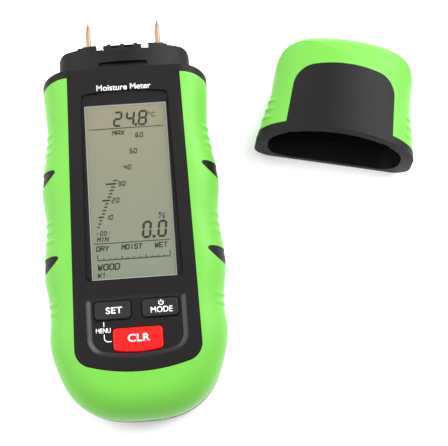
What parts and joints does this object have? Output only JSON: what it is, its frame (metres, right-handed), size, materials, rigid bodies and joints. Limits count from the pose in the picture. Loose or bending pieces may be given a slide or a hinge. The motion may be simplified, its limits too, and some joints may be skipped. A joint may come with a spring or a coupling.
{
  "type": "moisture meter",
  "caption": "Handheld pin moisture meter with a large display, soft grip sides and keys, lying beside its pull-off protective cap.",
  "frame": {"origin": "on the flat back of the meter, midway between its bottom end and the top of its head", "axes": "+X right across the display, +Y towards the electrode pins, +Z out of the display"},
  "size_m": [0.134, 0.1447, 0.0255],
  "materials": {
    "case_plastic": "fine satin texture",
    "grille_plastic": "fine satin texture",
    "grip_rubber": "soft matt, fine texture",
    "window_clear": "polished",
    "display_glass": "polished",
    "holder_plastic": "moulded",
    "contact_rubber": "matt",
    "key_dark": "satin",
    "key_red": "satin",
    "mat_rubber": "matt",
    "socket_brass": "turned",
    "pin_metal": "polished",
    "board_laminate": "solder mask",
    "chip_plastic": "moulded",
    "can_metal": "drawn",
    "capacitor_sleeve": "sleeve",
    "screw_metal": "zinc plated",
    "battery_jacket": "printed jacket",
    "snap_plastic": "moulded",
    "lead_sleeve": "sleeve"
  },
  "bodies": {
    "meter_body": {"front_case": "case_plastic", "rear_case": "case_plastic", "sensor_grille": "grille_plastic", "front_grip": "grip_rubber", "display_window": "window_clear", "display_glass": "display_glass", "display_holder": "holder_plastic", "contact_strips": "contact_rubber", "keypad_mat": "mat_rubber", "pin_socket_left": "socket_brass", "pin_socket_right": "socket_brass", "electrode_pin_left": "pin_metal", "electrode_pin_right": "pin_metal", "sensor_board": "board_laminate", "main_board": "board_laminate", "air_sensor": "chip_plastic", "processor": "chip_plastic", "measuring_chips": "chip_plastic", "board_crystal": "can_metal", "board_capacitors": "capacitor_sleeve", "small_board_parts": "chip_plastic", "board_screws": "screw_metal", "case_screws": "screw_metal", "battery": "battery_jacket", "battery_snap": "snap_plastic", "battery_leads": "lead_sleeve", "electrode_leads": "lead_sleeve", "sensor_leads": "lead_sleeve"},
    "set_key_body": {"set_key": "key_dark"},
    "mode_key_body": {"mode_key": "key_dark"},
    "clear_key_body": {"clear_key": "key_red"},
    "battery_door_body": {"battery_door": "case_plastic"},
    "cap_body": {"cap_shell": "case_plastic", "cap_grip": "grip_rubber"}
  },
  "joints": [
    {"name": "set_key_press", "type": "slide", "parent": "meter_body", "child": "set_key_body", "axis": [0, 0, -1], "range_m": [0, 0.0006], "stiffness_N_per_m": 600},
    {"name": "mode_key_press", "type": "slide", "parent": "meter_body", "child": "mode_key_body", "axis": [0, 0, -1], "range_m": [0, 0.0006], "stiffness_N_per_m": 600},
    {"name": "clear_key_press", "type": "slide", "parent": "meter_body", "child": "clear_key_body", "axis": [0, 0, -1], "range_m": [0, 0.0006], "stiffness_N_per_m": 600},
    {"name": "battery_door_slide", "type": "slide", "parent": "meter_body", "child": "battery_door_body", "axis": [0, -1, 0], "range_m": [0, 0.012]},
    {"name": "cap_slide", "type": "slide", "parent": "meter_body", "child": "cap_body", "axis": [0.2147, 0.9767, 0], "range_m": [0, 0.05]}
  ]
}
